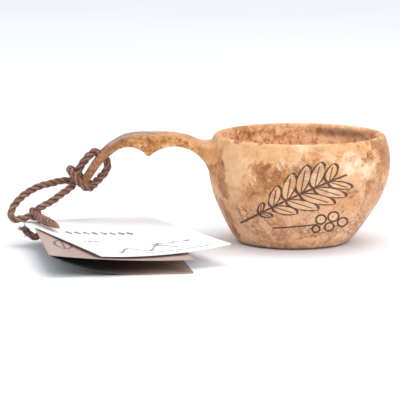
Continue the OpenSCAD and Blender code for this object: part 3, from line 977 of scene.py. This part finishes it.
# %% Twine
jute = Mix("twine", Roughness=0.85, IOR=1.4)
lay_map = jute.node("ShaderNodeUVMap", {"uv_map": "lay"})
turn, along, _ = jute.parts(lay_map)
tone = jute.stored("tone")
spot = jute.place()
yarns = ((turn * 5 + along * 7.0) * math.tau).sum("SINE") * 0.5 + 0.5
hairs = jute.noise(spot, 1500, 3, 0.6)
patches = jute.noise(spot, 180, 3)
crown = jute.stored("crown")
body = jute.ramp(yarns * 0.35 + hairs * 0.75 + patches * 0.35 - 0.25,
                 [(0.18, colour("43261C")), (0.40, colour("785042")), (0.58, colour("A47766")),
                  (0.82, colour("E2BCA6"))])
gold = jute.ramp(hairs, [(0.3, colour("B07C50")), (0.5, colour("DDAE7C")), (0.7, colour("F8E0B8"))])
strand = jute.blend(tone, body, gold)
# Painted shade: where the crown is low, deep in the groove between two strands, the colour is darkened
# towards 2E1812.
jute.feed(Base_Color=jute.blend(crown.rise(1.0, 0.58) * 0.85, strand, colour("2E1812")))
jute.bump((yarns * 0.6 + hairs * 0.6) * crown.rise(1.8, 1.2), 0.0003)
for piece in (twine, knot, stopper, fray):
    piece.data.materials.append(jute.material)
print("jute nodes:", len(jute.tree.nodes))

# %% [markdown]
# ## Printed card and kraft board
# The card is smooth white board. The real one would carry a shop's words; here the print is plain ornament:
# a band of lozenges, a dotted line, a wavy rule and short dashes. The booklet is brown kraft board with a
# small leaf.

# %% Card print
def paper_map(mix, wide, long):
    """Millimetres across and along a sheet."""
    across, up, _ = mix.parts(mix.node("ShaderNodeUVMap", {"uv_map": "UVMap"}))
    return across * wide, (1 - up) * long


def kraft(name, light, dark):
    """Board of paper pulp between two tones: the mix, its colour and its relief."""
    board = Mix(name, Roughness=0.8, IOR=1.4)
    spot = board.place()
    pulp = board.noise(spot, 260, 5, 0.65)
    fibres = board.noise(board.vector("MULTIPLY", spot, (1, 3.2, 1)), 900, 3, 0.6)
    tint = board.ramp(pulp * 0.6 + fibres * 0.5 - 0.05, [(0.25, colour(dark)), (0.75, colour(light))])
    return board, tint, pulp * 0.5 + fibres * 0.5


white, clean, tooth = kraft("white_card", "FBFAFB", "F1F0F3")
across, along = paper_map(white, CARD_W, CARD_L)


def box_mask(value, low, high, soft=0.25):
    """1 between low and high, with soft edges."""
    return value.rise(low - soft, low + soft) * value.rise(high + soft, high - soft)


def lozenges(value, other, middle, pitch, tall):
    """A row of lozenges along value, as tall as tall on either side of middle."""
    cell = (value / pitch - (value / pitch).whole() - 0.5).size() * 2
    return (cell + (other - middle).size() / tall).rise(0.98, 0.84)


band = lozenges(across + along * 0.12, along - across * 0.34, 34.5, 4.6, 5.4) * box_mask(across, 8.5, 45.0)
dots = lozenges(across, along, 64.5, 3.4, 2.6) * box_mask(across, 8.5, 18.5)
swing = along - 95.0 + (across * 0.34).sum("SINE") * 4.6 + across * 0.16
wave = swing.size().rise(1.7, 0.9) * box_mask(across, 13, 50)
dashes = lozenges(across + along * 0.3, along, 80.5, 9.0, 2.2) * box_mask(across, 36, 62)
fine_rule = (along - 99.0).size().rise(0.9, 0.4) * box_mask(across, 26, 66)
rubbed = white.noise(white.place(), 420, 3).rise(0.28, 0.46)
ink = band.most(dots).most(wave).most(dashes).most(fine_rule) * rubbed
white.feed(Base_Color=white.blend(ink * 0.85, clean, colour("5E5C72")))
white.bump(tooth, 0.00004)

plain, plain_tint, plain_tooth = kraft("card_back", "F2E6E0", "E2D3CB")
plain.feed(Base_Color=plain_tint)
plain.bump(plain_tooth, 0.00004)

# %% Kraft print
face, face_tint, face_tooth = kraft("kraft_face", "C2AAA0", "AA9085")
across, along = paper_map(face, LEAF_W, LEAF_L)
LEAF_LONG, LEAF_HALF = 27.0, 4.4
leaf_up, leaf_over = (along - 84.0) * -1.0, (across - 10.5).size()
blade = (leaf_up / LEAF_LONG * (1 - leaf_up / LEAF_LONG) * 4).most(0).power(0.8) * LEAF_HALF
leaf_edge, leaf_rib = (leaf_over - blade).size().rise(0.9, 0.4), leaf_over.rise(0.7, 0.3)
small_leaf = leaf_edge.most(leaf_rib) * box_mask(leaf_up, 0.2, LEAF_LONG - 0.2)
speckled = box_mask(along, 76, 104, 3) * box_mask(across, 7, 60, 3)
speckle = face.noise(face.place(), 1100, 2).rise(0.47, 0.56) * speckled
inked = small_leaf.most(speckle * 0.45)
face.feed(Base_Color=face.blend(inked * 0.75, face_tint, colour("4A3C38")))
face.bump(face_tooth, 0.00006)

# The leaves' inner faces: dark print on the kraft together with painted shade between the leaves, both
# darkest towards the fold.
liner, liner_tint, liner_tooth = kraft("inside_print_and_painted_shade", "B39C8C", "9A8272")
across, along = paper_map(liner, LEAF_W, LEAF_L)
depth = across.rise(66.0, 20.0)
liner.feed(Base_Color=liner.blend(depth, liner_tint, colour("24282A")))
liner.bump(liner_tooth, 0.00006)

edge, edge_tint, edge_tooth = kraft("cut_edge", "F3E6E0", "E2CFC6")
edge.feed(Base_Color=edge_tint)
edge.bump(edge_tooth, 0.00004)

for piece, skins in ((card_piece, (white, plain, edge)), (upper_piece, (face, liner, edge)),
                     (lower_piece, (liner, face, edge))):
    for skin in skins:
        piece.data.materials.append(skin.material)

# %% [markdown]
# ## Table and light
# The cup stands on a plain pale table that runs on out of sight, under one broad soft light from above and
# a weaker one from the front, with a bright even sky all round.

# %% Stage
bpy.ops.object.select_all(action="DESELECT")
bpy.ops.mesh.primitive_plane_add(size=14, location=(0, 0, -0.0002))
table = added("table")
table_top = Mix("table_top", Roughness=0.9)
shade = table_top.noise(table_top.place(), 3, 2)
table_top.feed(Base_Color=table_top.ramp(shade, [(0.3, (0.86, 0.87, 0.90, 1)), (0.7, (0.90, 0.91, 0.94, 1))]))
table.data.materials.append(table_top.material)

sky = bpy.data.worlds.new("sky")
sky.use_nodes = True
sky.node_tree.nodes["Background"].inputs["Color"].default_value = (0.95, 0.965, 1.0, 1)
sky.node_tree.nodes["Background"].inputs["Strength"].default_value = 0.95
bpy.context.scene.world = sky
bpy.context.scene.view_settings.view_transform = "Standard"


def soft_light(name, at, aim, size, power):
    """A square lamp that faces what it is aimed at."""
    data = bpy.data.lights.new(name, "AREA")
    data.shape, data.size, data.energy = "SQUARE", size, power
    lamp = bpy.data.objects.new(name, data)
    lamp.location = at
    lamp.rotation_euler = (Vector(aim) - Vector(at)).to_track_quat("-Z", "Y").to_euler()
    bpy.context.scene.collection.objects.link(lamp)


soft_light("overhead", (0.15, 0.1, 1.3), (-0.03, 0, 0.02), 1.0, 8)
soft_light("front", (0.7, -1.1, 0.7), (-0.03, 0, 0.03), 0.7, 5)
